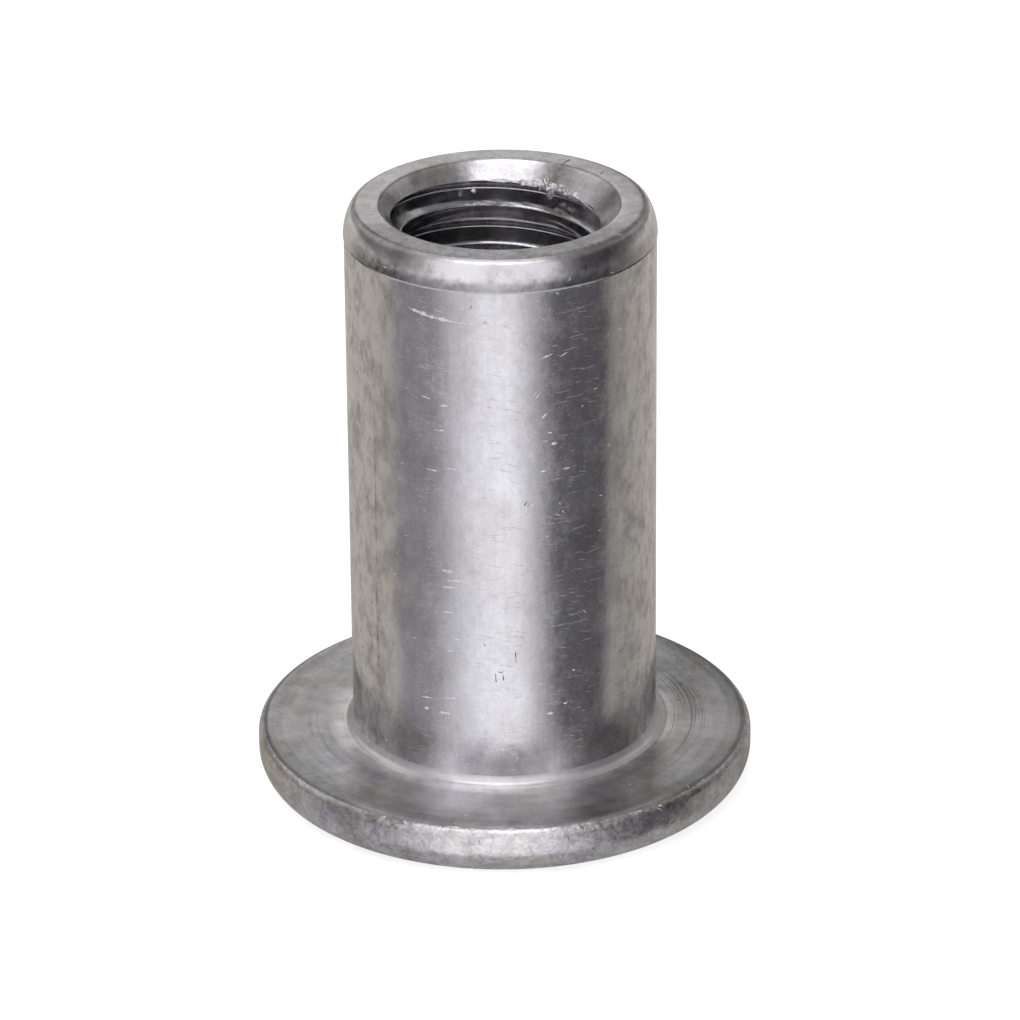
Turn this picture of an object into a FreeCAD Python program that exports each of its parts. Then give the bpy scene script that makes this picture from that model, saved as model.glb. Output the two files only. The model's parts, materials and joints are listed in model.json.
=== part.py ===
import FreeCAD, Part
import math
import os

import Sketcher

# Flange rivet nut: one piece of aluminium, headed, bored and tapped.
# It stands on its flange. The origin is the centre of the flange's outer face and +Z runs up the bore
# to the threaded end. Lengths are in millimetres and angles in degrees.
# The bore is plain at the thread's minor diameter.

sizes = {
    # threaded end
    "overallLength": 21.1,
    "threadMajorDiameter": 7.94,
    "threadDepth": 0.62,
    "threadLength": 9.05,
    "threadWall": 1.28,
    # countersink where the thread opens
    "countersinkAllowance": 0.15,
    "countersinkAngle": 90,
    "mouthEdgeRadius": 0.15,
    # rounded lead of the shank
    "leadHeight": 1.28,
    "leadCornerRadius": 0.36,
    "leadTaper": 0.15,
    # sleeve that folds when the nut is set, and its hole for the screw
    "screwClearance": 0.43,
    "shoulderAngle": 90,
    "entryChamfer": 0.3,
    # flange
    "flangeOverhang": 3.3,
    "rimLowerRadius": 1.07,
    "rimLand": 0.43,
    "rimUpperRadius": 0.4,
    "baseFillet": 0.42,
}

# places of a line or an arc, and the origin, as the constraints name them
startPoint, endPoint, centrePoint = range(1, 4)
origin = (-1, startPoint)
horizontalAxis = -1

doc = FreeCAD.newDocument("flange_rivet_nut")
sheet = doc.addObject("Spreadsheet::Sheet", "sizes")
for row, (alias, value) in enumerate(sizes.items(), start=1):
    sheet.set(f"A{row}", alias)
    sheet.set(f"B{row}", str(value))
    sheet.setAlias(f"B{row}", alias)
doc.recompute()


def addLine(sketch, fromPoint, toPoint, construction=False):
    ends = [FreeCAD.Vector(across, up, 0) for across, up in (fromPoint, toPoint)]
    return sketch.addGeometry(Part.LineSegment(*ends), construction)


def addArc(sketch, centre, radius, fromAngle, toAngle):
    circle = Part.Circle(FreeCAD.Vector(*centre, 0), FreeCAD.Vector(0, 0, 1), radius)
    arc = Part.ArcOfCircle(circle, math.radians(fromAngle), math.radians(toAngle))
    return sketch.addGeometry(arc, False)


def bind(sketch, name, value, expression, kind, *places):
    """Add a dimension that has a value now and follows an expression of the sheet."""
    index = sketch.addConstraint(Sketcher.Constraint(kind, *places, value))
    sketch.renameConstraint(index, name)
    sketch.setExpression(f"Constraints.{name}", expression)


def follow(sketch, alias, kind, *places):
    """Add a dimension that is one cell of the sheet."""
    bind(sketch, alias, sizes[alias], f"sizes.{alias}", kind, *places)


def join(sketch, kind, chain):
    """Join each edge of a chain to the next one. An edge is given with its ends in the chain's order."""
    for (edge, _, leaves), (follower, enters, _) in zip(chain, chain[1:]):
        sketch.addConstraint(Sketcher.Constraint(kind, edge, leaves, follower, enters))


def drawSection(sketch):
    """Draw the wall of the nut in section, once round from the screw's entry."""
    major = sizes["threadMajorDiameter"] / 2
    minor = major - sizes["threadDepth"]
    mouth = major + sizes["countersinkAllowance"]
    sleeve = major + sizes["screwClearance"]
    shank = major + sizes["threadWall"]
    flange = shank + sizes["flangeOverhang"]
    corner = sizes["leadCornerRadius"]
    taper = sizes["leadTaper"]
    endEdge = shank - corner - taper
    entry = sizes["entryChamfer"]
    edge = sizes["mouthEdgeRadius"]
    lower = sizes["rimLowerRadius"]
    upper = sizes["rimUpperRadius"]
    fillet = sizes["baseFillet"]

    top = sizes["overallLength"]
    leadStart = top - sizes["leadHeight"]
    rimTop = lower + sizes["rimLand"]
    face = rimTop + upper
    threadStart = top - sizes["threadLength"]
    shoulderHalf = math.radians(sizes["shoulderAngle"] / 2)
    sleeveTop = threadStart - (sleeve - minor) / math.tan(shoulderHalf)

    # the lead's long flank is tangent to the shank and to the small corner
    rise = sizes["leadHeight"] - corner
    turn = math.degrees(2 * math.atan2(taper, rise))
    flank = (rise ** 2 + taper ** 2) / (2 * taper) + corner

    # the rounded edge of the mouth runs into the countersink
    coneHalf = math.radians(sizes["countersinkAngle"] / 2)
    coneTop = (mouth - edge * math.cos(coneHalf), top - edge * (1 - math.sin(coneHalf)))
    coneEnd = coneTop[1] - (coneTop[0] - minor) / math.tan(coneHalf)

    outerFace = addLine(sketch, (sleeve + entry, 0), (flange - lower, 0))
    lowerRim = addArc(sketch, (flange - lower, lower), lower, -90, 0)
    rimLand = addLine(sketch, (flange, lower), (flange, rimTop))
    upperRim = addArc(sketch, (flange - upper, rimTop), upper, 0, 90)
    panelFace = addLine(sketch, (flange - upper, face), (shank + fillet, face))
    base = addArc(sketch, (shank + fillet, face + fillet), fillet, 180, 270)
    shankWall = addLine(sketch, (shank, face + fillet), (shank, leadStart))
    leadFlank = addArc(sketch, (shank - flank, leadStart), flank, 0, turn)
    leadCorner = addArc(sketch, (endEdge, top - corner), corner, turn, 90)
    endFace = addLine(sketch, (endEdge, top), (mouth, top))
    mouthEdge = addArc(sketch, (mouth, top - edge), edge, 90, 180 - sizes["countersinkAngle"] / 2)
    countersink = addLine(sketch, (minor, coneEnd), coneTop)
    threadBore = addLine(sketch, (minor, coneEnd), (minor, threadStart))
    shoulder = addLine(sketch, (sleeve, sleeveTop), (minor, threadStart))
    sleeveBore = addLine(sketch, (sleeve, sleeveTop), (sleeve, entry))
    entryChamfer = addLine(sketch, (sleeve, entry), (sleeve + entry, 0))
    threadRoot = addLine(sketch, (major, threadStart), (major, top), construction=True)

    smooth = [
        (outerFace, startPoint, endPoint),
        (lowerRim, startPoint, endPoint),
        (rimLand, startPoint, endPoint),
        (upperRim, startPoint, endPoint),
        (panelFace, startPoint, endPoint),
        (base, endPoint, startPoint),
        (shankWall, startPoint, endPoint),
        (leadFlank, startPoint, endPoint),
        (leadCorner, startPoint, endPoint),
        (endFace, startPoint, endPoint),
        (mouthEdge, startPoint, endPoint),
        (countersink, endPoint, startPoint),
    ]
    sharp = [
        (countersink, endPoint, startPoint),
        (threadBore, startPoint, endPoint),
        (shoulder, endPoint, startPoint),
        (sleeveBore, startPoint, endPoint),
        (entryChamfer, startPoint, endPoint),
        (outerFace, startPoint, endPoint),
    ]
    join(sketch, "Tangent", smooth)
    join(sketch, "Coincident", sharp)
    for level in (outerFace, panelFace, endFace):
        sketch.addConstraint(Sketcher.Constraint("Horizontal", level))
    for upright in (rimLand, shankWall, threadBore, sleeveBore, threadRoot):
        sketch.addConstraint(Sketcher.Constraint("Vertical", upright))
    sketch.addConstraint(Sketcher.Constraint("PointOnObject", outerFace, startPoint, horizontalAxis))
    sketch.addConstraint(Sketcher.Constraint("PointOnObject", threadRoot, endPoint, endFace))

    # across, from the thread's root inwards and outwards
    root = (threadRoot, startPoint)
    bind(sketch, "rootRadius", major, "sizes.threadMajorDiameter / 2", "DistanceX", *origin, *root)
    follow(sketch, "threadDepth", "DistanceX", threadBore, endPoint, *root)
    follow(sketch, "countersinkAllowance", "DistanceX", *root, endFace, endPoint)
    follow(sketch, "screwClearance", "DistanceX", *root, sleeveBore, startPoint)
    follow(sketch, "threadWall", "DistanceX", *root, shankWall, startPoint)
    follow(sketch, "flangeOverhang", "DistanceX", shankWall, startPoint, rimLand, startPoint)
    inset = "sizes.leadCornerRadius + sizes.leadTaper"
    leadEnds = (leadCorner, centrePoint, shankWall, endPoint)
    bind(sketch, "leadInset", corner + taper, inset, "DistanceX", *leadEnds)

    # up, from the outer face to the threaded end
    follow(sketch, "overallLength", "DistanceY", *origin, endFace, startPoint)
    follow(sketch, "leadHeight", "DistanceY", shankWall, endPoint, endFace, startPoint)
    follow(sketch, "threadLength", "DistanceY", *root, threadRoot, endPoint)
    sketch.addConstraint(Sketcher.Constraint("Horizontal", threadBore, endPoint, *root))
    follow(sketch, "rimLand", "DistanceY", rimLand, startPoint, rimLand, endPoint)
    follow(sketch, "entryChamfer", "DistanceY", entryChamfer, endPoint, entryChamfer, startPoint)
    chamferEnds = (entryChamfer, startPoint, entryChamfer, endPoint)
    bind(sketch, "entryAcross", entry, "sizes.entryChamfer", "DistanceX", *chamferEnds)

    # rounds and slopes
    follow(sketch, "rimLowerRadius", "Radius", lowerRim)
    follow(sketch, "rimUpperRadius", "Radius", upperRim)
    follow(sketch, "baseFillet", "Radius", base)
    follow(sketch, "leadCornerRadius", "Radius", leadCorner)
    follow(sketch, "mouthEdgeRadius", "Radius", mouthEdge)
    cone = "90 deg - sizes.countersinkAngle * 0.5 deg"
    bind(sketch, "coneSlope", math.pi / 2 - coneHalf, cone, "Angle", countersink)
    slope = "90 deg + sizes.shoulderAngle * 0.5 deg"
    bind(sketch, "shoulderSlope", math.pi / 2 + shoulderHalf, slope, "Angle", shoulder)


def makeNut():
    body = doc.addObject("PartDesign::Body", "rivet_nut")
    body.Label = "rivet_nut"
    sketch = body.newObject("Sketcher::SketchObject", "Section")
    plane = next(feature for feature in body.Origin.OriginFeatures if feature.Role == "XZ_Plane")
    sketch.AttachmentSupport = [(plane, "")]
    sketch.MapMode = "FlatFace"
    drawSection(sketch)
    turned = body.newObject("PartDesign::Revolution", "Turned")
    turned.Profile = sketch
    turned.ReferenceAxis = (sketch, ["V_Axis"])
    turned.Angle = 360
    doc.recompute()
    return body


def checkNut(body):
    for item in doc.Objects:
        if "Invalid" in item.State or "Error" in item.State:
            raise RuntimeError(f"{item.Name} did not build: {item.State}")
    shape = body.Shape
    if shape.isNull() or not shape.isValid() or len(shape.Solids) != 1:
        raise RuntimeError(f"{body.Label} is not one valid solid")


nut = makeNut()
checkNut(nut)
os.makedirs("parts", exist_ok=True)
nut.Shape.exportStep(f"parts/{nut.Label}.step")
print(nut.Label, round(nut.Shape.Volume, 3), "cubic millimetres", nut.Shape.BoundBox)
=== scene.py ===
import json
import math
from functools import partial

import bmesh
import bpy
from mathutils import Matrix, Vector

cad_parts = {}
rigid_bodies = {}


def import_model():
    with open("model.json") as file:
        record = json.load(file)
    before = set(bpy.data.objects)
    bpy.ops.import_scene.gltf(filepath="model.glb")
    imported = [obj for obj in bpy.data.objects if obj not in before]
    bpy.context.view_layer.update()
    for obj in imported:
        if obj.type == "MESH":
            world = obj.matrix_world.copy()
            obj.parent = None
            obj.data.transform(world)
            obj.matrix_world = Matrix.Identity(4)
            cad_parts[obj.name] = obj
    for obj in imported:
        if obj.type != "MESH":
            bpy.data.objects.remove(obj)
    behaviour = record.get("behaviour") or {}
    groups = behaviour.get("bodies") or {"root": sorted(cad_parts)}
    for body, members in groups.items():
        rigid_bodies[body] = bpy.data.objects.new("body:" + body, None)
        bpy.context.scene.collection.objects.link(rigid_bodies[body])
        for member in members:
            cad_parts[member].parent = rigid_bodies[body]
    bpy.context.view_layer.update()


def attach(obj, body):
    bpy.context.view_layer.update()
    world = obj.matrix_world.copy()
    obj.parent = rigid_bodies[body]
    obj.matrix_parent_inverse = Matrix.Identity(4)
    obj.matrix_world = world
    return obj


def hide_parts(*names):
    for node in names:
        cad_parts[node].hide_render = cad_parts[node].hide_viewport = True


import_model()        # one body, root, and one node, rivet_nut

# Flange rivet nut, standing on its flange. The nut's sizes are written in millimetres from the centre
# of the flange's outer face, +Z up the bore, and become metres when a mesh is finished.
mm = 0.001


def toLinear(hexColour):
    channels = [int(hexColour[i:i + 2], 16) / 255 for i in (1, 3, 5)]
    return [c / 12.92 if c <= 0.04045 else ((c + 0.055) / 1.055) ** 2.4 for c in channels] + [1]


def setInputs(node, inputs):
    # an input is a value, the socket that feeds it, or a node whose first output feeds it
    for name, value in inputs.items():
        if isinstance(value, bpy.types.Node):
            value = value.outputs[0]
        if isinstance(value, bpy.types.NodeSocket):
            node.id_data.links.new(value, node.inputs[name])
        else:
            node.inputs[name].default_value = value


def addNode(tree, kind, inputs=None, **settings):
    node = tree.nodes.new(kind)
    for name, value in settings.items():
        setattr(node, name, value)
    setInputs(node, inputs or {})
    return node


def newMaterial(name):
    # a material with its shader, and the function that adds a node to it
    material = bpy.data.materials.new(name)
    material.use_nodes = True
    return material, material.node_tree.nodes["Principled BSDF"], partial(addNode, material.node_tree)


def addObject(name, data):
    thing = bpy.data.objects.new(name, data)
    bpy.context.scene.collection.objects.link(thing)
    return thing


# Camera

shot = {
    "target": (0.248, 0, 9.76),
    "distance": 205.8,
    "elevation": 25.08,
    "roll": 0.48,           # the picture leans this much to the left
    "lens": 212.3,
}


def makeCamera():
    camera = addObject("camera", bpy.data.cameras.new("camera"))
    tilt = math.radians(shot["elevation"])
    away = Vector((0, -math.cos(tilt), math.sin(tilt))) * shot["distance"]
    place = (Vector(shot["target"]) + away) * mm
    turn = Matrix.Rotation(math.pi / 2 - tilt, 4, "X") @ Matrix.Rotation(-math.radians(shot["roll"]), 4, "Z")
    camera.matrix_world = Matrix.Translation(place) @ turn
    camera.data.lens = shot["lens"]
    camera.data.sensor_width = 36
    camera.data.clip_start = 10 * mm
    bpy.context.scene.camera = camera


# Studio

studio = {
    "floorColour": "#f8f8f7",
    "floorSize": 6000,
    "floorLift": 0.7,
    "worldColour": "#7b7977",
    "worldStrength": 1.0,
    "lampAim": (0, 0, 10),
    # name, size, place, strength in watts per square metre per steradian, colour
    "lamps": [
        ("keyLamp", (365, 190), (-26, -165, 400), 1.48, "#faf8ff"),
        ("topLamp", (190, 460), (-10, 170, 420), 0.6, "#ffffff"),
        ("frontLamp", (860, 520), (-50, -420, 200), 0.66, "#f9f7ff"),
        ("backLamp", (150, 160), (-45, 440, 190), 0.82, "#ffffff"),
        ("leftLamp", (290, 250), (-268, 148, 257), 0.32, "#ffffff"),
        ("rightLamp", (150, 130), (264, 207, 218), 0.24, "#ffffff"),
    ],
    # a black flag stands on the right and darkens what the round edges mirror there
    "flagColour": "#3a383c",
    "flagPlace": 300,
    "flagReach": (-260, 60),
    "flagHeight": 230,
}

# A glowing card lies round the nut and shows only in reflections, where it stands in for card as a
# photographer lays it for metal: in front a sheet that is white in the middle, grey on the left and black on
# the right, and buff card behind.
cards = {
    # painted shadow: the buff ring close to the flange stands in for the flange's shadow on the sheet
    "nearRadius": 9.7,      # buff card shows again this close to the flange
    "nearBlur": 0.3,
    "sheetRadius": 66,
    "sheetBlur": 6,
    "cardRadius": 260,
    "cardLift": 0.02,       # just clear of the floor
    "backEdge": -5.2,       # the front sheet ends here, and the edge drops to the right by the slope
    "backBlur": 0.8,
    "edgeSlope": -0.02,
    # direction from the front in degrees, to the right, and colour
    "sheet": [
        (-180, "#858386"), (-110, "#7c7a7e"), (-48, "#858387"), (-14, "#f0eff4"), (7, "#f5f4f9"),
        (35, "#59585b"), (83, "#464548"), (180, "#464548"),
    ],
    "table": [
        (-180, "#cac4bc"), (-140, "#aca7a0"), (-90, "#a29d96"), (-50, "#a09ea0"), (50, "#9a9899"),
        (88, "#8e8a85"), (120, "#a09b95"), (180, "#cac4bc"),
    ],
    "beyond": [
        (-180, "#a4a2a6"), (-152, "#a8a6aa"), (-118, "#6c6a6e"), (-46, "#747276"), (-22, "#7e7c80"),
        (-8, "#c4c3c8"), (8, "#c8c7cc"), (22, "#5c5a5e"), (36, "#4a484c"), (110, "#5c5a5e"), (180, "#a4a2a6"),
    ],
}


def makeLamp(name, size, place, radiance, colour):
    lamp = addObject(name, bpy.data.lights.new(name, "AREA"))
    lamp.data.shape = "RECTANGLE"
    lamp.data.size, lamp.data.size_y = (side * mm for side in size)
    lamp.data.color = toLinear(colour)[:3]
    lamp.data.energy = radiance * math.pi * size[0] * size[1] * mm * mm
    turn = (Vector(studio["lampAim"]) - Vector(place)).to_track_quat("-Z", "Y").to_matrix().to_4x4()
    lamp.matrix_world = Matrix.Translation(Vector(place) * mm) @ turn


def makeStudio():
    half = studio["floorSize"] / 2 * mm
    floorMesh = bpy.data.meshes.new("floor")
    corners = [(-half, -half, 0), (half, -half, 0), (half, half, 0), (-half, half, 0)]
    floorMesh.from_pydata(corners, [], [(0, 1, 2, 3)])
    floor = addObject("floor", floorMesh)
    paper, shader, add = newMaterial("white paper")
    # the sheet shows white to the camera and in reflections, and keeps the nut's soft shadow
    rays = add("ShaderNodeLightPath").outputs
    seen = rays["Is Camera Ray"]
    for kind in ("Is Glossy Ray", "Is Transmission Ray"):
        seen = add("ShaderNodeMath", {0: seen, 1: rays[kind]}, operation="MAXIMUM")
    lift = add("ShaderNodeMath", {0: seen, 1: studio["floorLift"]}, operation="MULTIPLY")
    setInputs(shader, {
        "Base Color": toLinear(studio["floorColour"]),
        "Roughness": 0.9,
        "Specular IOR Level": 0.1,
        "Emission Color": (1, 1, 1, 1),
        "Emission Strength": lift,
    })
    floorMesh.materials.append(paper)

    world = bpy.data.worlds.new("studio air")
    world.use_nodes = True
    setInputs(world.node_tree.nodes["Background"], {
        "Color": toLinear(studio["worldColour"]), "Strength": studio["worldStrength"],
    })
    bpy.context.scene.world = world

    for lamp in studio["lamps"]:
        makeLamp(*lamp)
    makeCards()


def makeCards():
    radius = cards["cardRadius"] * mm
    corners = 96
    turns = [2 * math.pi * i / corners for i in range(corners)]
    points = [(radius * math.cos(t), radius * math.sin(t), cards["cardLift"] * mm) for t in turns]
    cardMesh = bpy.data.meshes.new("cards")
    cardMesh.from_pydata(points, [], [tuple(range(corners))])
    cardObject = addObject("cards", cardMesh)
    card, _, add = newMaterial("coloured card")
    card.node_tree.nodes.clear()
    place = add("ShaderNodeTexCoord").outputs["Object"]
    across, along = add("ShaderNodeSeparateXYZ", {"Vector": place}).outputs[:2]
    front = add("ShaderNodeMath", {0: along, 1: -1.0}, operation="MULTIPLY")
    angle = add("ShaderNodeMath", {0: across, 1: front}, operation="ARCTAN2")
    share = add("ShaderNodeMapRange", {"Value": angle, "From Min": -math.pi, "From Max": math.pi})
    colours = []
    for name in ("sheet", "table", "beyond"):
        ramp = add("ShaderNodeValToRGB", {"Fac": share})
        stops = ramp.color_ramp.elements
        stops.remove(stops[1])
        for i, (direction, colour) in enumerate(cards[name]):
            stop = stops.new((direction + 180) / 360) if i else stops[0]
            stop.color = toLinear(colour)
        colours.append(ramp.outputs["Color"])
    reach = add("ShaderNodeVectorMath", {0: place}, operation="LENGTH").outputs["Value"]

    def edge(value, middle, blur):
        # 0 to 1 over an edge that is blurred by so much on either side
        return add("ShaderNodeMapRange", {
            "Value": value, "From Min": (middle - blur) * mm, "From Max": (middle + blur) * mm,
        })

    far = edge(reach, cards["sheetRadius"], cards["sheetBlur"])
    sheet = add("ShaderNodeMix", {0: far, 6: colours[0], 7: colours[2]}, data_type="RGBA")
    slope = add("ShaderNodeMath", {0: across, 1: -cards["edgeSlope"], 2: along}, operation="MULTIPLY_ADD")
    behind = edge(slope, cards["backEdge"], cards["backBlur"])
    near = edge(reach, cards["nearRadius"], -cards["nearBlur"])
    onTable = add("ShaderNodeMath", {0: behind, 1: near}, operation="MAXIMUM")
    colour = add("ShaderNodeMix", {0: onTable, 6: sheet.outputs[2], 7: colours[1]}, data_type="RGBA")
    glow = add("ShaderNodeEmission", {"Color": colour.outputs[2], "Strength": 1.0})
    add("ShaderNodeOutputMaterial", {"Surface": glow})
    cardMesh.materials.append(card)
    onlyMirrored(cardObject)

    black, shader, _ = newMaterial("black flag")
    setInputs(shader, {"Base Color": toLinear(studio["flagColour"])})
    near, far = (reach * mm for reach in studio["flagReach"])
    x, top = studio["flagPlace"] * mm, studio["flagHeight"] * mm
    flagMesh = bpy.data.meshes.new("flag")
    flagMesh.from_pydata([(x, near, 0), (x, far, 0), (x, far, top), (x, near, top)], [], [(0, 1, 2, 3)])
    flagMesh.materials.append(black)
    onlyMirrored(addObject("flag", flagMesh))


def onlyMirrored(thing):
    thing.visible_camera = False
    thing.visible_diffuse = False
    thing.visible_shadow = False
    thing.visible_transmission = False


# Nut

nut = {
    # section, in the solid's own sizes
    "length": 21.1,
    "shankRadius": 5.25,
    "flangeRadius": 8.55,
    "rimLowerRadius": 1.07,
    "rimLand": 0.43,
    "rimUpperRadius": 0.4,
    "baseFillet": 0.42,
    "leadCornerRadius": 0.36,
    "leadTaper": 0.15,
    "mouthRadius": 4.12,
    "mouthEdgeRadius": 0.15,
    "boreRadius": 3.35,
    "sleeveRadius": 4.4,
    "threadLength": 9.05,
    "entryChamfer": 0.3,
    # the lead was rolled down over the shank and ends in a lap, this far from the top; the solid's lead
    # starts a little lower
    "lapHeight": 0.022,
    "lapBelow": 1.04,
    "lapRoll": [(1.15, 0), (1.1, 0.03)],     # its lip: share of that height, and how far up
    "flankSkip": 2,                          # degrees of the lead's long round that the lip takes up
    # the groove under the lap, and how far down its top, the end of its floor and its lower edge lie
    "grooveDepth": 0.04,
    "grooveLevels": (0.004, 0.045, 0.07),
    # a punch pressed the corner under the shank and left a faint crease round its foot
    "pressedFillet": 0.8,                    # share of the fillet's radius that it left
    "creaseWidth": 0.06,
    "creaseDepth": 0.005,
    # where the finish changes on the rim's and the lead's rounds, in degrees
    "rimFinishEnd": 60,
    "leadFinishEnd": 66,
    "segments": 320,
    "sharpAngle": 32,      # edges that turn more than this stay sharp
}

thread = {
    "pitch": 1.411,
    "depth": 0.62,
    "rootShare": 8,        # the root flat is this part of the pitch
    "flankAngle": 30,
    "crestRound": 0.11,
    "rootRound": 0.06,
    "phase": 0.99,         # how far the first root lies under the mouth at the back
    "startAngle": 90,
    "turns": 9,
    "turnsBelow": 7,
    "sink": 0.003,         # the crests' rounds start this far inside the bore, which cuts them clean
    "clearance": 0.12,     # and the cutting form reaches this far into it
}

# a bare blank after it has rolled about with its neighbours: soft satin, with pits and scuffs
tumbled = {
    "colour": "#f4f3f6",
    "tarnish": "#ebe9e9",
    "roughness": 0.25,
    # size across, size up and depth in millimetres
    "relief": [(1.2, 1.2, 0.015), (0.42, 0.42, 0.0048), (0.1, 0.1, 0.0011), (0.14, 5, 0.0012)],
    # size across, size up and how much lighter or darker
    "shade": [(2.4, 3.2, 0.07), (0.7, 1.1, 0.09), (0.25, 0.4, 0.07), (0.09, 0.09, 0.08), (0.15, 5, 0.04)],
    "mottle": [(0.6, 0.8, 0.1), (0.18, 0.18, 0.07)],     # the same for roughness
    # spacing, width and share of the pits, and how dark and deep they are
    "pits": [(1.15, 0.06, 0.35, 0.55, 0.01), (0.3, 0.024, 0.45, 0.3, 0.004)],
    # length and width of fine scuffs, and how far they lean from level
    "ticks": [(1.3, 0.05, 4), (0.8, 0.045, -12)],
    "tickDepth": 0.005,
    # lines drawn along the shank: direction from the front, lowest, highest, half width, shade, depth
    "seams": [(-54.3, 9.2, 15.2, 0.06, -0.34, -0.006), (-54.6, 5.2, 8.6, 0.07, -0.4, -0.006)],
    # blotchy dirt: direction from the front, half angle, size and shade
    "stains": [(-75, 48, 0.8, 0.3), (-80, 45, 0.28, 0.28), (78, 48, 0.8, 0.26), (82, 45, 0.28, 0.26)],
    # painted shade at the foot: direction from the front, half angle, height and shade
    "foot": [(0, 20, 2.95, -0.32), (-66, 24, 2.7, -0.22), (66, 24, 2.7, -0.14)],
}

# the flange's rim took the most knocks, which leave it uneven and blotched
knocked = {
    **tumbled,
    "colour": "#e8e7ea",
    "tarnish": "#dad7d2",
    "roughness": 0.33,
    "relief": [(1.1, 0.8, 0.036), (0.4, 0.3, 0.022), (0.16, 0.16, 0.007)],
    "shade": [(1.4, 1.2, 0.22), (0.5, 0.4, 0.28), (0.18, 0.18, 0.24), (0.09, 0.09, 0.16)],
    "ticks": [],
    "seams": [],
    "stains": [],
    # painted highlight in front and painted shade beside it: direction from the front, half angle, shade
    "rubbed": [(-2, 20, 0.12), (-28, 16, -0.16), (18, 10, -0.14)],
    # painted shade underneath
    "foot": [(0, 100, 0.15, -0.25)],
}

# the rounded end was rolled in, and then knocked about as the rim was
rolled = {
    **knocked,
    "colour": "#f8f7fa",
    "tarnish": "#efedee",
    "roughness": 0.31,
    "relief": [(1.3, 1.3, 0.018), (0.5, 0.5, 0.011), (0.2, 0.2, 0.003), (0.1, 0.1, 0.0006)],
    "shade": [(1.8, 1.8, 0.14), (0.5, 0.5, 0.16), (0.2, 0.2, 0.09), (0.09, 0.09, 0.07)],
    "mottle": [(0.7, 0.7, 0.08), (0.2, 0.2, 0.03)],
    # painted shade either side of the front and a little painted highlight left of it, by direction
    "rubbed": [(42, 24, -0.36), (-52, 22, -0.34), (62, 22, -0.12), (-22, 22, 0.08)],
    # painted shade over the lap, but not in the middle of the front
    "foot": [(-34, 38, 20.3, -0.42), (22, 32, 20.3, -0.42)],
}
# and its end is duller and darker, with painted shade either side of the front
rubbed = {
    **rolled,
    "colour": "#cfced2",
    "tarnish": "#c3c1bf",
    "roughness": 0.34,
    "shade": [(1.4, 1.4, 0.16), (0.4, 0.4, 0.2), (0.16, 0.16, 0.14), (0.08, 0.08, 0.14)],
    # painted shade either side of the front, by direction
    "rubbed": [(-34, 42, -0.34), (32, 38, -0.34)],
    "foot": [],
    "pits": [(0.9, 0.07, 0.45, 0.5, 0.01), (0.3, 0.03, 0.5, 0.35, 0.004)],
}

# the corner between shank and flange is paler and smoother
coined = {
    "colour": "#fbfafc",
    "tarnish": "#f0efef",
    "metallic": 0.8,
    "roughness": 0.34,
    "relief": [(0.9, 0.9, 0.008), (0.3, 0.3, 0.003)],
    "shade": [(1.2, 1.2, 0.1), (0.3, 0.3, 0.08)],
    "mottle": [],
}

# the forming tool faced the flange and left fine rings, which break up what it mirrors
faced = {
    "colour": "#cccbce",
    "tarnish": "#bebcba",
    "roughness": 0.36,
    "anisotropy": 0.1,
    "relief": [(1.4, 1.4, 0.01), (0.4, 0.4, 0.005), (0.1, 0.1, 0.0012)],
    "shade": [(2.2, 2.2, 0.12), (0.6, 0.6, 0.14), (0.22, 0.22, 0.1), (0.09, 0.09, 0.12)],
    "mottle": [(0.7, 0.7, 0.08)],
    "pits": [(1.1, 0.06, 0.4, 0.5, 0.01), (0.35, 0.025, 0.5, 0.3, 0.004)],
    # rings that the forming tool left: spacing, depth and shade
    "rings": [(0.11, 0.002, 0.22), (0.5, 0.004, 0.24)],
    # paler round the foot of the shank, and darker by the rim: middle radius, half width and shade
    "bands": [(5.2, 1.05, 0.46), (7.95, 0.3, -0.16)],
    # painted light and shade by direction: direction from the front, half angle and shade
    "rubbed": [
        (-20, 22, 0.24), (25, 24, 0.2), (-56, 26, -0.1), (58, 22, -0.12), (138, 60, -0.36), (-130, 70, -0.16),
    ],
    # and painted shade out by the rim in front: direction from the front, half angle, inner and outer radius,
    # shade
    "paintedRimShade": [(0, 90, 7.25, 8.5, -0.24), (0, 24, 6.6, 8.5, -0.12)],
    # deeper rings at the sides: the same, with the rings' spacing before the shade and depth after it
    "scored": [(84, 42, 5.9, 7.0, 0.1, -0.26, -0.005), (-66, 34, 6.1, 6.9, 0.14, -0.12, -0.002)],
}

# the countersink rubbed against other parts and lost its polish
countersunk = {
    **rolled,
    "colour": "#e2e0e4",
    "tarnish": "#d6d4d2",
    "roughness": 0.26,
    "relief": [(0.9, 0.9, 0.009), (0.35, 0.35, 0.005), (0.12, 2.0, 0.0016)],
    "shade": [(1.2, 1.2, 0.14), (0.35, 0.35, 0.14), (0.14, 2.0, 0.16), (0.1, 0.1, 0.1)],
    "rings": [(0.09, 0.0014, 0.2)],
    "bands": [(4.12, 0.3, 0.3)],
    # painted shade at the sides, by direction
    "rubbed": [(-108, 30, -0.3), (106, 20, -0.2)],
    "foot": [],
}

# the tap cut the thread clean, close to a mirror
tapped = {
    "colour": "#e2e2e6",
    "tarnish": "#d2d0d0",
    "roughness": 0.13,
    "relief": [(0.8, 0.8, 0.004), (0.3, 0.3, 0.0015), (0.09, 2.0, 0.0008)],
    "shade": [(0.8, 0.8, 0.12), (0.09, 1.6, 0.2)],
    "mottle": [(0.5, 0.5, 0.06)],
}

# metal torn up by a knock scatters light like frost
torn = {
    "colour": "#fcfcfe",
    "tarnish": "#f4f4f6",
    "metallic": 0.25,
    "roughness": 0.4,
    "relief": [(0.1, 0.1, 0.002)],
    "shade": [(0.2, 0.2, 0.2)],
    "mottle": [],
}
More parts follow.
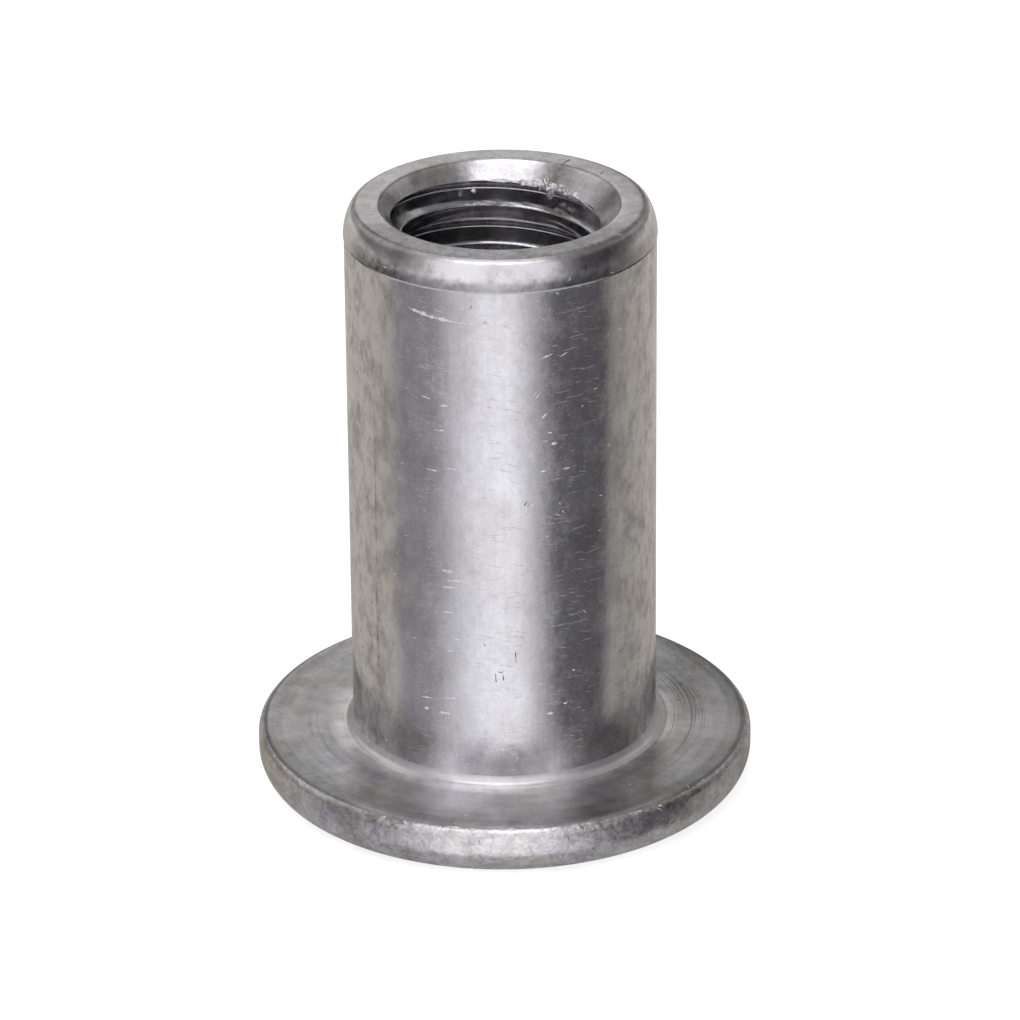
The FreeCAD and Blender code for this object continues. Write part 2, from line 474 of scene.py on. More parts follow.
# a burr is crumpled and catches the light here and there
crumpled = {
    **torn,
    "metallic": 0.75,
    "roughness": 0.2,
    "relief": [(0.25, 0.25, 0.07), (0.1, 0.1, 0.01)],
    "shade": [(0.16, 0.16, 0.3)],
}
# the dirt that gathers in a gouge and under the lap
grimy = {
    "colour": "#a3a19d",
    "tarnish": "#8a8884",
    "roughness": 0.5,
    "relief": [(0.1, 0.1, 0.002)],
    "shade": [(0.4, 0.4, 0.7)],
    "mottle": [],
}
# the lap is dirty, with a painted highlight in front: direction, half angle and shade
lapped = {
    **grimy,
    "rubbed": [(-6, 58, 3.2)],
}


# noise runs from 0 to 1, most of it about 0.5: where in it each kind of mark starts, and is full
noiseLevels = {
    "patch": (0.29, 0.71),
    "scuff": (0.67, 0.75),
    "brokenLine": (0.3, 0.55),
    "brokenBand": (0.25, 0.55),
    "stain": (0.36, 0.64),
    "score": (0.5, 0.6),
    "tarnish": (0.38, 0.68),
}
# and the size of its grain across and up, in millimetres
noiseGrains = {"brokenLine": (0.6, 0.5), "brokenBand": (1.2, 1.2), "foot": (0.3, 0.3), "tarnish": (1.9, 2.6)}


def makeAluminium(name, look):
    # Bare aluminium. Its gloss comes from the way it was worked: soft satin where it was tumbled, fine
    # rings where the tool faced it, and close to a mirror where the tap cut it.
    material, shader, add = newMaterial(name)
    relief, shade, mottle = [], [], []
    core = 0.4      # a pit is full over this part of its width, and a patch over this part of its angle

    def times(*factors):
        product = factors[0]
        for factor in factors[1:]:
            product = add("ShaderNodeMath", {0: product, 1: factor}, operation="MULTIPLY")
        return product

    def sumOf(values, total=0.0):
        for value in values:
            total = add("ShaderNodeMath", {0: value, 1: total})
        return total

    def fade(value, outside, inside):
        # 0 outside to 1 inside
        return add("ShaderNodeMapRange", {
            "Value": value, "From Min": outside, "From Max": inside,
        }, interpolation_type="SMOOTHSTEP")

    # places in millimetres
    inMetres = add("ShaderNodeTexCoord").outputs["Object"]
    place = add("ShaderNodeVectorMath", {0: inMetres, "Scale": 1 / mm}, operation="SCALE")
    height = add("ShaderNodeSeparateXYZ", {"Vector": place}).outputs["Z"]
    flat = add("ShaderNodeVectorMath", {0: place, 1: (1, 1, 0)}, operation="MULTIPLY")
    radius = add("ShaderNodeVectorMath", {0: flat}, operation="LENGTH").outputs["Value"]
    outward = add("ShaderNodeVectorMath", {0: flat}, operation="NORMALIZE")

    def grain(across, up, lean=0):
        # noise whose grain has these sizes
        turned = place
        if lean:
            turned = add("ShaderNodeMapping", {"Vector": place, "Rotation": (0, math.radians(lean), 0)})
        spot = add("ShaderNodeVectorMath", {
            0: turned, 1: (1 / across, 1 / across, 1 / up),
        }, operation="MULTIPLY")
        return add("ShaderNodeTexNoise", {
            "Vector": spot, "Scale": 1.0, "Detail": 2.0, "Roughness": 0.55,
        }).outputs["Fac"]

    def patchy(kind):
        return fade(grain(*noiseGrains[kind]), *noiseLevels[kind])

    def swing(value, amount):
        # half the amount either way
        return add("ShaderNodeMath", {0: value, 1: amount, 2: -amount / 2}, operation="MULTIPLY_ADD")

    def mark(mask, dark, deep):
        shade.append(times(mask, dark))
        relief.append(times(mask, deep))

    def along(direction):
        # how far a place lies in a direction from the front
        angle = math.radians(direction)
        return add("ShaderNodeVectorMath", {
            0: outward, 1: (math.sin(angle), -math.cos(angle), 0),
        }, operation="DOT_PRODUCT").outputs["Value"]

    def facing(direction, half):
        return fade(along(direction), math.cos(math.radians(half)), math.cos(math.radians(half * core)))

    def distance(value, middle):
        away = add("ShaderNodeMath", {0: value, 1: middle}, operation="SUBTRACT")
        return add("ShaderNodeMath", {0: away}, operation="ABSOLUTE")

    def ringNoise(spacing, wander):
        level = add("ShaderNodeCombineXYZ", {"Z": times(radius, 1 / spacing)})
        heading = add("ShaderNodeVectorMath", {0: outward, "Scale": wander}, operation="SCALE")
        spot = add("ShaderNodeVectorMath", {0: heading, 1: level})
        return add("ShaderNodeTexNoise", {"Vector": spot, "Scale": 1.0, "Detail": 1.0}).outputs["Fac"]

    # marks fade in and out over a few tenths of a millimetre
    for across, up, amount in look["relief"]:
        relief.append(swing(grain(across, up), amount))
    for kind, parts in (("shade", shade), ("mottle", mottle)):
        for across, up, amount in look[kind]:
            parts.append(swing(fade(grain(across, up), *noiseLevels["patch"]), amount))
    for spacing, width, part, dark, deep in look.get("pits", []):
        cells = add("ShaderNodeTexVoronoi", {"Vector": place, "Scale": 1 / spacing})
        dip = fade(cells.outputs["Distance"], width / spacing, width / spacing * core)
        chosen = add("ShaderNodeMath", {0: cells.outputs["Color"], 1: part}, operation="LESS_THAN")
        mark(times(dip, chosen), -dark, -deep)
    for length, width, lean in look.get("ticks", []):
        # scuffs from other parts: the peaks of a noise that is drawn out along one direction
        relief.append(times(fade(grain(length, width, lean), *noiseLevels["scuff"]), -look["tickDepth"]))
    for direction, lowest, highest, halfWidth, dark, deep in look.get("seams", []):
        # a broken line where the plane through the axis in this direction meets this side of the shank
        across = times(radius, along(direction + 90))
        line = times(
            fade(distance(across, 0.0), halfWidth, 0), patchy("brokenLine"),
            fade(height, lowest - 0.6, lowest + 0.4), fade(height, highest + 0.4, highest - 0.6),
            facing(direction, 40),
        )
        mark(line, dark, deep)
    for spacing, deep, amount in look.get("rings", []):
        ring = ringNoise(spacing, 1.0)
        relief.append(swing(ring, deep))
        shade.append(swing(ring, amount))
    for middle, halfWidth, amount in look.get("bands", []):
        band = fade(distance(radius, middle), halfWidth, halfWidth * 0.3)
        shade.append(times(band, patchy("brokenBand"), amount))
    # painted light and shade by direction from the front
    for direction, half, amount in look.get("rubbed", []):
        shade.append(times(facing(direction, half), amount))
    # painted shade out towards the rim
    for direction, half, inner, outer, amount in look.get("paintedRimShade", []):
        part = times(fade(radius, inner - 0.35, inner + 0.35), fade(radius, outer + 0.1, outer - 0.1))
        shade.append(times(facing(direction, half), part, amount))
    for direction, half, size, amount in look.get("stains", []):
        blotch = swing(fade(grain(size, size * 1.5), *noiseLevels["stain"]), amount)
        shade.append(times(facing(direction, half), blotch))
    for direction, half, level, amount in look.get("foot", []):
        # painted shade at the foot, with a ragged upper edge: the shade is full 0.3 mm below the level and
        # gone 0.4 mm above it
        ragged = add("ShaderNodeMath", {0: grain(*noiseGrains["foot"]), 1: height})
        low = fade(ragged, level + 0.9, level + 0.2)
        shade.append(times(facing(direction, half), low, amount))
    for direction, half, inner, outer, spacing, dark, deep in look.get("scored", []):
        part = times(
            facing(direction, half), fade(radius, inner - 0.2, inner + 0.2),
            fade(radius, outer + 0.2, outer - 0.3), fade(ringNoise(spacing, 0.8), *noiseLevels["score"]),
        )
        mark(part, dark, deep)

    # and a thin tarnish over it all, in patches of about 2 mm
    metal = add("ShaderNodeMix", {
        0: patchy("tarnish"), 6: toLinear(look["colour"]), 7: toLinear(look["tarnish"]),
    }, data_type="RGBA")
    colour = add("ShaderNodeVectorMath", {
        0: metal.outputs[2], "Scale": sumOf(shade, 1.0),
    }, operation="SCALE")
    gloss = add("ShaderNodeMath", {0: sumOf(mottle, look["roughness"]), 1: 0.05}, operation="MAXIMUM")
    bump = add("ShaderNodeBump", {"Height": sumOf(relief), "Strength": 1.0, "Distance": mm})
    setInputs(shader, {
        "Base Color": colour,
        "Roughness": gloss,
        "Normal": bump,
        "Metallic": look.get("metallic", 1),
    })
    if look.get("anisotropy"):
        tangent = add("ShaderNodeTangent", direction_type="RADIAL", axis="Z")
        setInputs(shader, {"Anisotropic": look["anisotropy"], "Tangent": tangent})
    return material


def arcPoints(centre, radius, fromAngle, toAngle, steps):
    angles = [math.radians(fromAngle + (toAngle - fromAngle) * i / steps) for i in range(steps + 1)]
    return [(centre[0] + radius * math.cos(a), centre[1] + radius * math.sin(a)) for a in angles]


def linePoints(start, end, steps):
    shares = [i / steps for i in range(steps + 1)]
    return [(start[0] + (end[0] - start[0]) * s, start[1] + (end[1] - start[1]) * s) for s in shares]


def nutSection():
    # stretches of the section once round, each with its finish, starting at the flange's outer face
    top = nut["length"]
    shank = nut["shankRadius"]
    flange = nut["flangeRadius"]
    lower, upper = nut["rimLowerRadius"], nut["rimUpperRadius"]
    rimTop = lower + nut["rimLand"]
    face = rimTop + upper
    fillet = nut["baseFillet"]
    corner, taper = nut["leadCornerRadius"], nut["leadTaper"]
    leadStart = top - nut["lapBelow"]
    endEdge = shank - corner - taper
    lap, deep = nut["lapHeight"], nut["grooveDepth"]
    # the lead's flank starts proud of the shank by the lap, tangent to the small corner
    lean, rise = taper + lap, nut["lapBelow"] - corner
    turn = math.degrees(2 * math.atan2(lean, rise))
    flank = (rise ** 2 + lean ** 2) / (2 * lean) + corner
    leadFlank = arcPoints((shank + lap - flank, leadStart), flank, nut["flankSkip"], turn, 10)
    leadCorner = (endEdge, top - corner)
    mouth, edge = nut["mouthRadius"], nut["mouthEdgeRadius"]
    lip = [(shank + lap * share, leadStart + up) for share, up in nut["lapRoll"]]
    under, inner, outer = (leadStart - below for below in nut["grooveLevels"])
    groove = [(shank, outer), (shank - deep, inner), (shank - deep, under)]
    curve, width, sunk = fillet * nut["pressedFillet"], nut["creaseWidth"], nut["creaseDepth"]
    crease = [(shank + fillet + width, face), (shank + curve + width / 2, face - sunk)]
    foot = face + sunk + curve
    rimEnd, leadEnd = nut["rimFinishEnd"], nut["leadFinishEnd"]
    bore, sleeve, entry = nut["boreRadius"], nut["sleeveRadius"], nut["entryChamfer"]
    diagonal = math.sqrt(0.5)
    coneTop = (mouth - edge * diagonal, top - edge * (1 - diagonal))
    coneEnd = (bore, coneTop[1] - (coneTop[0] - bore))
    threadStart = top - nut["threadLength"]
    sleeveTop = threadStart - (sleeve - bore)
    return [
        ("tumbled", linePoints((sleeve + entry, 0), (flange - lower, 0), 8)),
        ("knocked", arcPoints((flange - lower, lower), lower, -90, 0, 16)),
        ("knocked", linePoints((flange, lower), (flange, rimTop), 4)),
        ("knocked", arcPoints((flange - upper, rimTop), upper, 0, rimEnd, 6)),
        ("faced", arcPoints((flange - upper, rimTop), upper, rimEnd, 90, 3)),
        ("faced", linePoints((flange - upper, face), crease[0], 18)),
        ("faced", crease + [(shank + curve, face + sunk)]),
        ("coined", arcPoints((shank + curve, foot), curve, 268, 180, 8)),     # the crease takes 2 degrees
        ("tumbled", linePoints((shank, foot), groove[0], 56)),
        ("lapped", groove + lip[:1]),
        ("rolled", lip + leadFlank[:1]),
        ("rolled", leadFlank),
        ("rolled", arcPoints(leadCorner, corner, turn, leadEnd, 5)),
        ("rubbed", arcPoints(leadCorner, corner, leadEnd, 90, 3)),
        ("rubbed", linePoints((endEdge, top), (mouth, top), 5)),
        ("rubbed", arcPoints((mouth, top - edge), edge, 90, 135, 4)),
        ("countersunk", linePoints(coneTop, coneEnd, 8)),
        ("tapped", linePoints((bore, coneEnd[1]), (bore, threadStart), 20)),
        ("tapped", linePoints((bore, threadStart), (sleeve, sleeveTop), 3)),
        ("tapped", linePoints((sleeve, sleeveTop), (sleeve, entry), 6)),
        ("tapped", linePoints((sleeve, entry), (sleeve + entry, 0), 2)),
    ]


def turnedMesh(name, stretches, finishes, segments):
    rings, ringFinish = [], []
    for finish, points in stretches:
        rings += points[:-1]
        ringFinish += [finish] * (len(points) - 1)
    points, faces = [], []
    for radius, height in rings:
        for i in range(segments):
            angle = 2 * math.pi * i / segments
            points.append((radius * math.cos(angle), radius * math.sin(angle), height))
    count = len(rings)
    for k in range(count):
        here, there = k * segments, (k + 1) % count * segments
        for i in range(segments):
            j = (i + 1) % segments
            faces.append((here + i, here + j, there + j, there + i))
    mesh = bpy.data.meshes.new(name)
    mesh.from_pydata(points, [], faces)
    for material in finishes.values():
        mesh.materials.append(material)
    slots = list(finishes)
    mesh.polygons.foreach_set("material_index", [slots.index(f) for f in ringFinish for _ in range(segments)])
    mesh.update()
    return mesh


def threadForm():
    # the groove in section, rounded at its root and at the crests beside it; x runs outwards from the
    # bore's wall
    lean = math.radians(thread["flankAngle"])
    slope = 90 - thread["flankAngle"]
    halfRoot = thread["pitch"] / thread["rootShare"] / 2
    halfMouth = halfRoot + thread["depth"] * math.tan(lean)
    crest, root = thread["crestRound"], thread["rootRound"]
    run = math.tan(math.pi / 4 - lean / 2)     # from a corner to where its round starts, for a radius of 1
    side = [(-thread["clearance"], halfMouth + crest * run)]
    side += arcPoints((crest - thread["sink"], halfMouth + crest * run), crest, 180, 180 + slope, 3)
    side += arcPoints((thread["depth"] - root, halfRoot - root * run), root, slope, 0, 3)
    outline = [(x, -y) for x, y in side] + side[::-1]
    curve = bpy.data.curves.new("threadForm", "CURVE")
    curve.dimensions = "3D"
    spline = curve.splines.new("POLY")
    spline.points.add(len(outline) - 1)
    spline.points.foreach_set("co", [value for x, y in outline for value in (x, y, 0, 1)])
    spline.use_cyclic_u = True
    return addObject("threadForm", curve)


def startTree(name, sockets):
    # the sockets are named inputs, each with its kind
    tree = bpy.data.node_groups.new(name, "GeometryNodeTree")
    for socket, kind in {"Geometry": "Geometry", **sockets}.items():
        tree.interface.new_socket(socket, in_out="INPUT", socket_type="NodeSocket" + kind)
    tree.interface.new_socket("Geometry", in_out="OUTPUT", socket_type="NodeSocketGeometry")
    add = partial(addNode, tree)
    return add, add("NodeGroupInput").outputs


def endTree(add, geometry, material=None):
    whole = add("GeometryNodeRealizeInstances", {"Geometry": geometry})
    if material is not None:
        whole = add("GeometryNodeSetMaterial", {"Geometry": whole, "Material": material})
    return add("NodeGroupOutput", {0: whole}).id_data


def threadTree():
    # cuts a helical groove, given in section, out of a bore; only the groove gets the material, because
    # the piece around it has its own
    add, given = startTree("tapped thread", {
        "Form": "Object", "Bore Radius": "Float", "Pitch": "Float", "Turns": "Float", "Start Height": "Float",
        "Start Angle": "Float", "Steps per Turn": "Int", "Material": "Material",
    })
    rise = add("ShaderNodeMath", {0: given["Pitch"], 1: given["Turns"]}, operation="MULTIPLY")
    helix = add("GeometryNodeCurveSpiral", {
        "Resolution": given["Steps per Turn"], "Rotations": given["Turns"],
        "Start Radius": given["Bore Radius"], "End Radius": given["Bore Radius"], "Height": rise,
        "Reverse": True,     # right-handed
    })
    place = add("ShaderNodeCombineXYZ", {"Z": given["Start Height"]})
    turn = add("ShaderNodeCombineXYZ", {"Z": given["Start Angle"]})
    moved = add("GeometryNodeTransform", {"Geometry": helix, "Translation": place, "Rotation": turn})
    upright = add("GeometryNodeSetCurveNormal", {"Curve": moved}, mode="Z_UP")
    form = add("GeometryNodeObjectInfo", {"Object": given["Form"]})
    groove = add("GeometryNodeCurveToMesh", {
        "Curve": upright, "Profile Curve": form.outputs["Geometry"], "Fill Caps": True,
    })
    finished = add("GeometryNodeSetMaterial", {"Geometry": groove, "Material": given["Material"]})
    cut = add("GeometryNodeMeshBoolean", {
        "Mesh 1": given["Geometry"], "Mesh 2": finished,
    }, operation="DIFFERENCE", solver="MANIFOLD")
    return endTree(add, cut)


def addTree(thing, tree, values):
    modifier = thing.modifiers.new(tree.name, "NODES")
    modifier.node_group = tree
    for item in tree.interface.items_tree:
        if item.item_type == "SOCKET" and item.in_out == "INPUT" and item.name in values:
            modifier[item.identifier] = values[item.name]


def evaluatedMesh(thing):
    graph = bpy.context.evaluated_depsgraph_get()
    return bpy.data.meshes.new_from_object(thing.evaluated_get(graph), depsgraph=graph)


def plainMesh(thing):
    mesh, old = evaluatedMesh(thing), thing.data
    thing.modifiers.clear()
    thing.data = mesh
    mesh.name = old.name
    return mesh


def makeNut():
    looks = {
        "tumbled": tumbled, "knocked": knocked, "rolled": rolled, "coined": coined,
        "countersunk": countersunk, "faced": faced, "tapped": tapped, "rubbed": rubbed, "lapped": lapped,
    }
    finishes = {name: makeAluminium(name + " aluminium", look) for name, look in looks.items()}
    body = addObject("nut_body", turnedMesh("nut_body", nutSection(), finishes, nut["segments"]))
    form = threadForm()
    addTree(body, threadTree(), {
        "Form": form,
        "Bore Radius": nut["boreRadius"],
        "Pitch": thread["pitch"],
        "Turns": float(thread["turns"]),
        "Start Height": nut["length"] - thread["phase"] - thread["turnsBelow"] * thread["pitch"],
        "Start Angle": math.radians(thread["startAngle"]),
        "Steps per Turn": nut["segments"],
        "Material": finishes["tapped"],
    })
    mesh = plainMesh(body)
    bpy.data.objects.remove(form)
    triangles = sum(len(face.vertices) - 2 for face in mesh.polygons)
    print("nut body:", len(mesh.vertices), "vertices,", triangles, "triangles")
    return body


def finishPiece(piece):
    mesh = piece.data
    mesh.transform(Matrix.Scale(mm, 4))
    mesh.shade_smooth()
    mesh.set_sharp_from_angle(angle=math.radians(nut["sharpAngle"]))
    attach(piece, "root")


# Scratches and knocks

marks = {
    # on the shank: from and to, in millimetres to the right of the front and up, and width
    "shank": [
        (-3.28, 19.16, -2.35, 19.01, 0.08), (-2.95, 19.05, -1.2, 18.9, 0.08),
        (-1.43, 18.9, -0.72, 18.92, 0.08), (-0.62, 18.96, -0.44, 19, 0.07),
        (-1.2, 19.32, -1.05, 19.63, 0.09), (1.25, 17.6, 1.8, 17.77, 0.035),
        (1.94, 17.57, 2.28, 17.74, 0.03), (-2.39, 16.75, -2.27, 16.76, 0.06),
        (-2.07, 16.97, -2.02, 16.97, 0.05), (-2.79, 16.1, -2.42, 16.02, 0.04),
        (-2.19, 15.83, -1.76, 15.9, 0.04), (-1.57, 15.91, -1.38, 15.91, 0.05),
        (-1.15, 15.36, -1.03, 15.34, 0.06), (-0.79, 15.37, -0.48, 15.37, 0.03),
        (-2.36, 14.92, -1.92, 14.97, 0.035), (-2.71, 13.47, -2.16, 13.44, 0.035),
        (-1.93, 13.61, -1.49, 13.6, 0.04), (-2.21, 9.83, -1.65, 9.8, 0.075),
        (-2.07, 9.45, -1.25, 9.52, 0.075), (-2.15, 9.21, -1.54, 9.23, 0.07), (-2.16, 8.27, -1.7, 8.3, 0.04),
        (-1.79, 7.28, -1.45, 7.33, 0.05), (-1.31, 7.33, -1.23, 7.34, 0.05),
        (-2.02, 6.82, -1.64, 6.87, 0.04), (-1.58, 6.19, -1.28, 6.21, 0.04),
        (1.23, 13.53, 1.52, 13.54, 0.06), (2, 13.51, 2.35, 13.52, 0.04), (1.63, 14.49, 1.93, 14.5, 0.06),
        (1.53, 14.93, 1.71, 14.9, 0.06), (1.53, 15.65, 1.31, 15.42, 0.045), (1.1, 16.16, 1.32, 16.44, 0.05),
        (0.98, 16.2, 1.21, 16.48, 0.04), (0.9, 12.3, 1.1, 12.37, 0.08), (2.03, 12, 2.11, 11.92, 0.06),
        (0.71, 15.55, 0.74, 15.36, 0.05), (1.43, 11.15, 1.58, 11.13, 0.06), (-3.05, 4.9, -2.5, 4.93, 0.05),
        (-2.24, 5.03, -1.38, 5.1, 0.04), (-2.89, 4.5, -2.66, 4.49, 0.055), (-2.38, 4.45, -1.8, 4.46, 0.055),
        (-1.53, 4.42, -1.15, 4.44, 0.05), (1.41, 4.51, 1.73, 4.49, 0.055), (2.04, 4.78, 2.22, 4.8, 0.05),
        (2.38, 5.99, 2.51, 5.96, 0.05), (1.07, 5.65, 1.39, 5.66, 0.04),
    ],
    # dirty gouges, cut in: the same on the shank, and on a flat face from x, y to x, y at a height
    "shankGouges": [
        (-1.05, 19.37, -0.94, 19.62, 0.035), (-6.16, 15.87, -6.05, 15.88, 0.08),
        (-2.13, 7.64, -2.05, 7.54, 0.07), (1.32, 12.69, 1.44, 12.96, 0.04),
        (0.72, 12.33, 0.83, 12.51, 0.04), (1.77, 12.06, 1.98, 11.99, 0.035),
        (1.24, 12.62, 1.36, 12.88, 0.03), (0.8, 12.3, 0.95, 12.46, 0.03), (1.7, 12.14, 1.86, 12.05, 0.03),
        (-0.29, 6.18, -0.26, 5.71, 0.03), (-0.23, 6.21, -0.04, 6.15, 0.03),
        (-0.04, 6.15, -0.01, 5.81, 0.03), (0.39, 7.01, 0.41, 6.45, 0.03), (-0.67, 7.26, -0.62, 7.14, 0.04),
        (2.54, 2.67, 2.58, 2.61, 0.06),
    ],
    "flatGouges": [
        (2.46, 3.97, 2.08, 3.34, 21.1, 0.06), (3.56, 2.85, 3.32, 2.24, 21.1, 0.032),
        (-2.5, 3.88, -2.44, 3.92, 21.1, 0.06), (-4.45, -0.62, -4.41, -0.65, 21.1, 0.05),
        (6.02, 1.05, 6.16, 0.99, 1.9, 0.07), (7.5, -0.66, 7.64, -0.72, 1.9, 0.04),
        (7.13, -1.49, 7.2, -1.53, 1.9, 0.04), (7, 0.6, 7.04, 0.65, 1.9, 0.04),
    ],
    # nicks in the rim: two ends, each as direction from the right in degrees, radius and height, and width
    "rimKnocks": [
        (-72.6, 8.38, 1.85, -72, 8.5, 1.68, 0.075), (-71.8, 8.4, 1.83, -71.2, 8.46, 1.76, 0.06),
        (-75.8, 8.52, 1.62, -75.4, 8.55, 1.3, 0.03), (-96, 8.54, 1.55, -95.6, 8.55, 1.36, 0.03),
    ],
    "rimTears": [
        (-114.2, 8.36, 1.86, -113, 8.46, 1.78, 0.11), (-113.2, 8.44, 1.8, -112.7, 8.42, 1.82, 0.09),
        (-73.4, 8.4, 1.83, -73, 8.5, 1.68, 0.08), (-58, 8.4, 1.84, -56.5, 8.42, 1.83, 0.05),
        (-52, 8.44, 1.8, -51, 8.46, 1.78, 0.05), (-104, 8.34, 1.88, -100, 8.36, 1.87, 0.05),
        (-99, 8.4, 1.83, -96, 8.38, 1.85, 0.06), (-92, 8.38, 1.85, -87, 8.36, 1.87, 0.06),
        (-84, 8.4, 1.83, -80, 8.38, 1.85, 0.05),
    ],
    "flatness": 0.85,        # height of a raised lip against half its width
    "step": 0.05,            # between the rings of points along a lip
    "breakSize": 0.12,       # size of the grain that breaks a lip up
    "sliver": 0.0002,        # points this close become one after the cut
}

# small knocks all over, but not on the outer face and not in the bore, by the names of the tree's inputs
knocks = {
    "Per Area": 0.7,
    "Shortest": 0.05,
    "Longest": 0.22,
    "Width": 0.035,
    "Height": 0.016,
    "Tilt": 1.5,        # at most this far from level, in radians, and most of them much less
    "Innermost": nut["shankRadius"] - 0.5,
    "Lowest": 0.6,
    "Seed": 11,
    "Length Seed": 5,
}

# what the tap tore up where it left the countersink
burrs = {
    # from and to, each as direction from the right in degrees, radius and height, and width
    "chips": [
        (62, 3.45, 20.5, 72, 3.47, 20.55, 0.4), (60.5, 3.43, 20.52, 58.8, 3.36, 20, 0.24),
        (62, 3.54, 20.68, 67, 3.48, 20.48, 0.34), (55, 3.45, 20.5, 63, 3.47, 20.5, 0.3),
        (48, 3.45, 20.48, 58, 3.46, 20.5, 0.2), (66, 3.4, 20.45, 66.8, 3.36, 20.22, 0.14),
        (43, 3.45, 20.46, 47.8, 3.45, 20.48, 0.2), (38, 3.45, 20.44, 50, 3.45, 20.47, 0.1),
        (52, 3.44, 20.48, 55, 3.43, 20.42, 0.09), (103.5, 3.36, 20.2, 107, 3.4, 20.22, 0.08),
        (105, 3.36, 20.06, 105.4, 3.42, 20.38, 0.05), (100, 3.34, 19.7, 104, 3.35, 19.72, 0.11),
        (101.5, 3.33, 19.6, 102.2, 3.36, 19.82, 0.07), (73, 3.45, 20.5, 76, 3.46, 20.53, 0.1),
    ],
    # along the first turn's edge: first and last direction, whether it is the edge on the crest below
    # the groove or else the one on the countersink, and width
    "edges": [(12, 108, False, 0.16), (78, 116, True, 0.1), (140, 190, True, 0.07)],
    "edgeStep": 2,
    "crestDrop": 0.42,       # from the groove's root down to the crest's edge
    # the groove's upper flank and the countersink meet at a radius that follows from the root's height
    # over a base and from the sum of both slopes; the countersink is its own radius and a rise high
    "flankBase": 14.6648,
    "slopes": 1.577,
    "coneRise": 17.055,
    "breakSize": 0.3,
}


def scratchTree():
    # lays thin raised lips along lines, down on a surface; a lip is as wide as its line's radius says
    add, given = startTree("scratch lips", {
        "Surface": "Object", "Lay Down": "Bool", "Step": "Float", "Flatness": "Float", "Break Size": "Float",
        "Material": "Material",
    })
    surface = add("GeometryNodeObjectInfo", {"Object": given["Surface"]}).outputs["Geometry"]
    fine = add("GeometryNodeResampleCurve", {
        "Curve": given["Geometry"], "Length": given["Step"],
    }, mode="LENGTH")
    near = add("GeometryNodeProximity", {0: surface}, target_element="FACES")
    laid = add("GeometryNodeSetPosition", {
        "Geometry": fine, "Position": near.outputs["Position"], "Selection": given["Lay Down"],
    })
    normal = add("GeometryNodeInputNormal")
    upright = add("GeometryNodeSampleNearestSurface", {
        "Mesh": surface, "Value": normal,
    }, data_type="FLOAT_VECTOR")
    turned = add("GeometryNodeSetCurveNormal", {"Curve": laid, "Normal": upright}, mode="FREE")
    # the lip thins out at both ends and breaks up along its way
    share = add("GeometryNodeSplineParameter")
    arch = add("ShaderNodeMath", {0: share.outputs["Factor"], 1: 0.5}, operation="PINGPONG")
    taper = add("ShaderNodeMapRange", {
        "Value": arch, "From Max": 0.35, "To Min": 0.2, "To Max": 1.0,
    }, interpolation_type="SMOOTHSTEP")
    grain = add("ShaderNodeMath", {0: 1.0, 1: given["Break Size"]}, operation="DIVIDE")
    noise = add("ShaderNodeTexNoise", {"Scale": grain, "Detail": 1.0})
    broken = add("ShaderNodeMapRange", {
        "Value": noise.outputs["Fac"], "From Min": 0.36, "From Max": 0.64, "To Min": 0.55, "To Max": 1.0,
    })
    # its width is worked out twice, once for the radius and again from that for the scale, so that the
    # ends run out finely
    radius = add("GeometryNodeInputRadius")
    thin = add("ShaderNodeMath", {0: taper, 1: broken}, operation="MULTIPLY")
    wide = add("ShaderNodeMath", {0: thin, 1: radius}, operation="MULTIPLY")
    sized = add("GeometryNodeSetCurveRadius", {"Curve": turned, "Radius": wide})
    ring = add("GeometryNodeCurvePrimitiveCircle", {"Resolution": 6, "Radius": 1.0})
    squash = add("ShaderNodeCombineXYZ", {"X": given["Flatness"], "Y": 1.0, "Z": 1.0})
    form = add("GeometryNodeTransform", {"Geometry": ring, "Scale": squash})
    lip = add("GeometryNodeCurveToMesh", {
        "Curve": sized, "Profile Curve": form, "Scale": wide, "Fill Caps": True,
    })
    return endTree(add, lip, given["Material"])


def cutTree():
    # cuts a piece with another object, which brings its own material
    add, given = startTree("gouged", {"Cutter": "Object"})
    cutter = add("GeometryNodeObjectInfo", {"Object": given["Cutter"]})
    cut = add("GeometryNodeMeshBoolean", {
        "Mesh 1": given["Geometry"], "Mesh 2": cutter.outputs["Geometry"],
    }, operation="DIFFERENCE", solver="MANIFOLD")
    return endTree(add, cut)


def closeSlivers(mesh):
    # a cut leaves slivers where a gouge runs out: they close up, and the many-sided faces are split
    # evenly, or some of them would fold over; at this stage the mesh is in millimetres
    shape = bmesh.new()
    shape.from_mesh(mesh)
    bmesh.ops.remove_doubles(shape, verts=shape.verts, dist=marks["sliver"])
    bmesh.ops.triangulate(shape, faces=shape.faces, ngon_method="BEAUTY")
    shape.to_mesh(mesh)
    shape.free()


